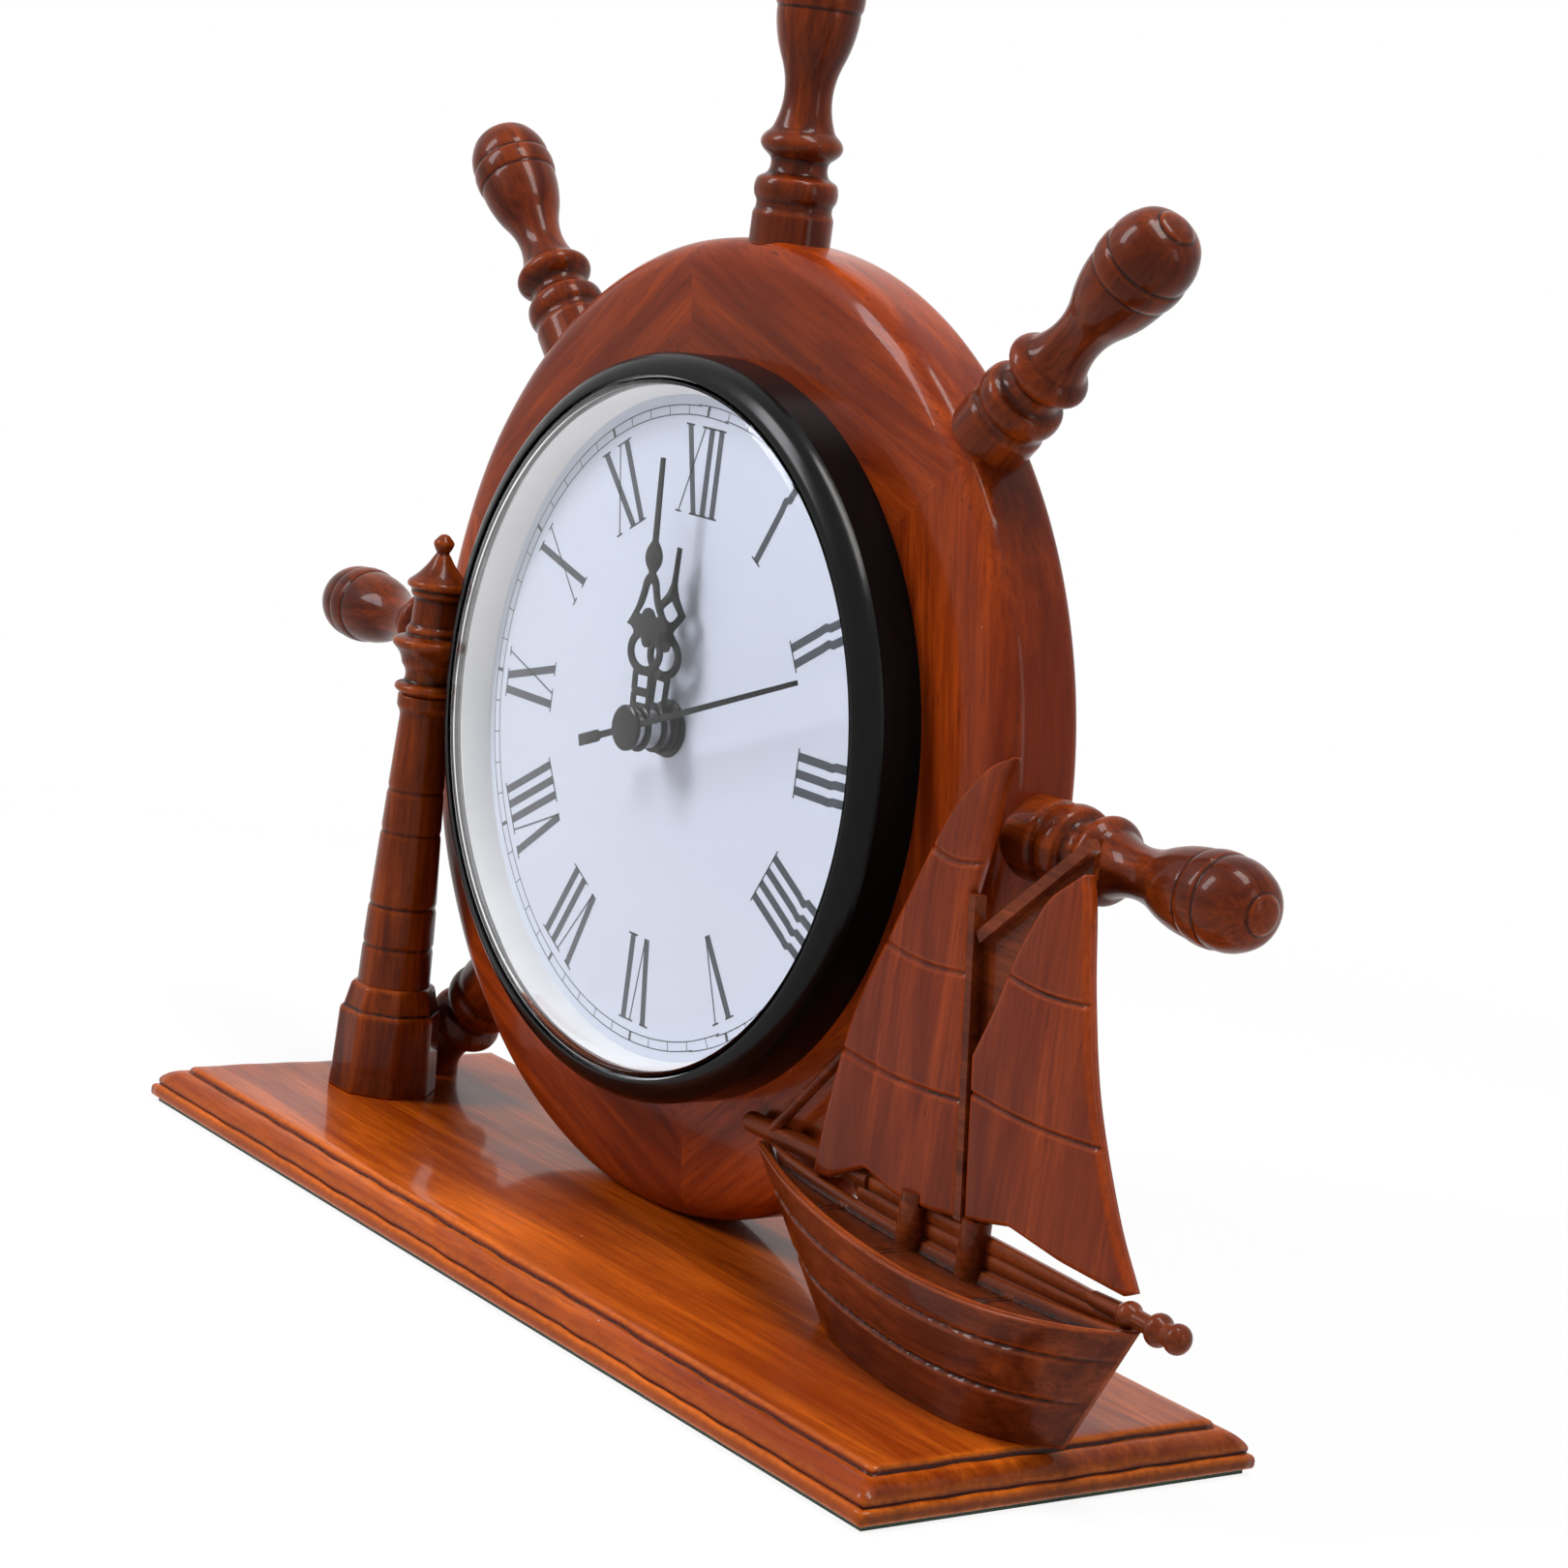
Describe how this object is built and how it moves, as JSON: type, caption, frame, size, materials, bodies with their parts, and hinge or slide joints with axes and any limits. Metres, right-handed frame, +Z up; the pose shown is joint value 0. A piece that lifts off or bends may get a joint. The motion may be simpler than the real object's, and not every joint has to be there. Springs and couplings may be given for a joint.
{
  "type": "desk clock",
  "caption": "Wooden desk clock: a ship's wheel with turned spokes carries a round battery clock insert and stands on a moulded plinth between a lighthouse and a sailing boat.",
  "frame": {"origin": "middle of the felt sheet's underside, on the surface that the clock stands on", "axes": "+X to the right of someone who faces the dial, along the plinth; +Y to the back; +Z up; the dial faces -Y"},
  "size_m": [0.291, 0.08, 0.2352],
  "materials": {
    "plinth_wood": "satin lacquer, orange-brown, darker moulded edge",
    "wheel_wood": "satin lacquer, red-brown",
    "spoke_wood": "gloss lacquer, dark red-brown",
    "lighthouse_wood": "satin lacquer, brown",
    "boat_wood": "satin lacquer, dark red-brown",
    "sail_wood": "satin lacquer, red-brown",
    "felt": "dark felt",
    "steel": "plain",
    "black_gloss": "black, satin gloss",
    "black_plastic": "black, matt",
    "clear": "clear, polished",
    "pale_plastic": "pale grey-white",
    "dial_white": "white, faintly blue, dark numerals",
    "hand_black": "black, satin",
    "nickel": "nickel plated",
    "rubber": "black",
    "gear_white": "white",
    "magnet": "dark grey",
    "copper": "lacquered copper wire",
    "board_green": "green",
    "cell_wrap": "plain dark sleeve"
  },
  "bodies": {
    "clock": {"plinth_board": "plinth_wood", "base_felt": "felt", "base_screws": "steel", "wheel_disc": "wheel_wood", "spoke_12": "spoke_wood", "spoke_0130": "spoke_wood", "spoke_03": "spoke_wood", "spoke_0430": "spoke_wood", "spoke_0730": "spoke_wood", "spoke_09": "spoke_wood", "spoke_1030": "spoke_wood", "lighthouse_foot": "lighthouse_wood", "lighthouse_tower": "lighthouse_wood", "lighthouse_lantern": "lighthouse_wood", "boat_hull": "boat_wood", "boat_aft_sail": "sail_wood", "boat_fore_sail": "sail_wood", "boat_mast": "boat_wood", "boat_back_panel": "boat_wood", "boat_gaff": "boat_wood", "boat_aft_post": "boat_wood", "boat_fore_post": "boat_wood", "boat_boom": "boat_wood", "boat_aft_spar": "boat_wood", "boat_bowsprit": "boat_wood", "boat_rail": "boat_wood", "bezel_ring": "black_gloss", "lens": "clear", "inner_ring": "pale_plastic", "dial_plate": "dial_white", "insert_cup": "black_plastic", "rubber_band": "rubber", "dial_washer": "nickel", "dial_nut": "nickel", "rubber_washer": "rubber", "movement_front_case": "black_plastic", "movement_rear_cover": "black_plastic", "train_plate": "gear_white", "stator": "steel", "coil": "copper", "circuit_board": "board_green", "quartz_crystal": "nickel", "battery_cell": "cell_wrap", "battery_contacts": "nickel"},
    "hour": {"hour_hand": "hand_black", "hour_wheel": "gear_white"},
    "minute": {"minute_hand": "hand_black", "centre_wheel": "gear_white"},
    "second": {"second_hand": "hand_black", "seconds_wheel": "gear_white"},
    "third": {"third_wheel": "gear_white"},
    "motion": {"minute_wheel": "gear_white"},
    "intermediate": {"intermediate_wheel": "gear_white"},
    "rotor": {"rotor": "magnet"},
    "knob": {"set_knob": "pale_plastic"}
  },
  "joints": [
    {"name": "second_hand_turn", "type": "hinge", "parent": "clock", "child": "second", "pos_m": [-0.016, -0.0071, 0.0947], "axis": [0, 1, 0], "continuous": true},
    {"name": "minute_hand_turn", "type": "hinge", "parent": "clock", "child": "minute", "pos_m": [-0.016, -0.0045, 0.0947], "axis": [0, 1, 0], "continuous": true},
    {"name": "hour_hand_turn", "type": "hinge", "parent": "clock", "child": "hour", "pos_m": [-0.016, -0.0012, 0.0947], "axis": [0, 1, 0], "continuous": true},
    {"name": "third_wheel_turn", "type": "hinge", "parent": "clock", "child": "third", "pos_m": [-0.00699, 0.0096, 0.10101], "axis": [0, 1, 0], "continuous": true},
    {"name": "minute_wheel_turn", "type": "hinge", "parent": "clock", "child": "motion", "pos_m": [-0.0232, 0.0069, 0.0947], "axis": [0, 1, 0], "continuous": true},
    {"name": "intermediate_wheel_turn", "type": "hinge", "parent": "clock", "child": "intermediate", "pos_m": [-0.02228, 0.014, 0.09997], "axis": [0, 1, 0], "continuous": true},
    {"name": "rotor_turn", "type": "hinge", "parent": "clock", "child": "rotor", "pos_m": [-0.0235, 0.016, 0.10686], "axis": [0, 1, 0], "continuous": true},
    {"name": "set_knob_turn", "type": "hinge", "parent": "clock", "child": "knob", "pos_m": [-0.03076, 0.0206, 0.0947], "axis": [0, 1, 0], "continuous": true}
  ],
  "couplings": [
    {"joint": "third_wheel_turn", "follows": "second_hand_turn", "ratio": -0.13333},
    {"joint": "minute_hand_turn", "follows": "second_hand_turn", "ratio": 0.016667},
    {"joint": "minute_wheel_turn", "follows": "second_hand_turn", "ratio": -0.0055556},
    {"joint": "hour_hand_turn", "follows": "second_hand_turn", "ratio": 0.0013889},
    {"joint": "set_knob_turn", "follows": "second_hand_turn", "ratio": 0.013889},
    {"joint": "intermediate_wheel_turn", "follows": "second_hand_turn", "ratio": -5},
    {"joint": "rotor_turn", "follows": "second_hand_turn", "ratio": 30}
  ]
}
